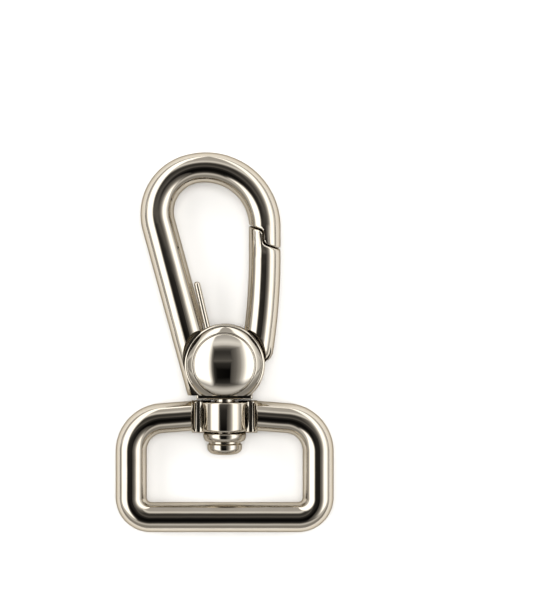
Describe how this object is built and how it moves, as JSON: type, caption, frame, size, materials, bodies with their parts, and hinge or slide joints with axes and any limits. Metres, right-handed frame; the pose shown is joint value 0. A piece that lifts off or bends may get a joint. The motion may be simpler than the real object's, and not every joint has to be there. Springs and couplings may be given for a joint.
{
  "type": "swivel snap hook",
  "caption": "Bright swivel snap hook with a rounded bow, a spring gate on a domed pivot and a swivelling loop for a webbing strap.",
  "frame": {"origin": "under the middle of the hook, on the surface that it lies on", "axes": "+Y from the strap loop to the bow along the swivel's axis, +Z away from the surface, +X towards the gate"},
  "size_m": [0.0352, 0.0611, 0.0087],
  "materials": {
    "cast_nickel": "bright nickel plate on polished zinc casting",
    "dome_nickel": "mirror bright nickel plate",
    "turned_nickel": "bright nickel plate on turned steel",
    "spring_steel": "drawn wire, nickel plated"
  },
  "bodies": {
    "hook": {"hook_body": "cast_nickel", "gate_spring": "spring_steel", "pivot_rivet": "dome_nickel", "rear_dome": "dome_nickel", "swivel_washer": "turned_nickel", "swivel_rivet": "turned_nickel"},
    "gate": {"gate": "cast_nickel"},
    "loop": {"strap_loop": "cast_nickel"}
  },
  "joints": [
    {"name": "gate_pivot", "type": "hinge", "parent": "hook", "child": "gate", "pos_m": [0, -0.0035, 0.00381], "axis": [0, 0, 1], "range_deg": [0, 26], "stiffness_Nm_per_rad": 0.1, "springref_deg": -57.3, "deforming": ["gate_spring"]},
    {"name": "loop_swivel", "type": "hinge", "parent": "hook", "child": "loop", "pos_m": [0, -0.0035, 0.00381], "axis": [0, 1, 0], "continuous": true}
  ]
}
